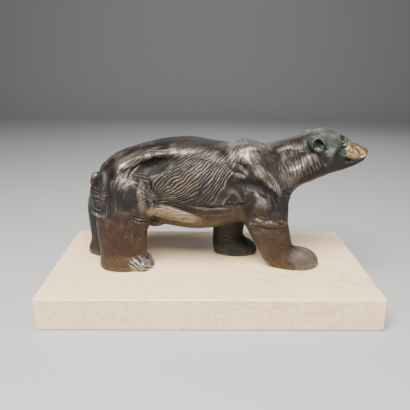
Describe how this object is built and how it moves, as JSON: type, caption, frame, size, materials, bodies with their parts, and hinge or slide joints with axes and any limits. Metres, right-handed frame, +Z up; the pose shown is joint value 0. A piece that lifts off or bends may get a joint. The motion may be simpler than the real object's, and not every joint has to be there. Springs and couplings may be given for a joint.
{
  "type": "animal figure on a plinth",
  "caption": "Walking bear figure cast in patinated spelter, head stretched forward, standing on a rectangular sawn marble plinth.",
  "frame": {"origin": "centre of the plinth's underside, on the surface the figure stands on", "axes": "+X along the plinth's length, the way the bear walks and looks; +Y across it, from the shown side to the far side; +Z up"},
  "size_m": [0.3, 0.16, 0.1619],
  "materials": {
    "spelter": "zinc-alloy casting with a dark brown bronze patina, chestnut on the legs, green on the head, rubbed bright on the muzzle and the toes",
    "marble": "honed cream-beige marble with small pits and fine brown veins"
  },
  "bodies": {
    "root": {"bear": "spelter", "plinth": "marble"}
  },
  "joints": []
}
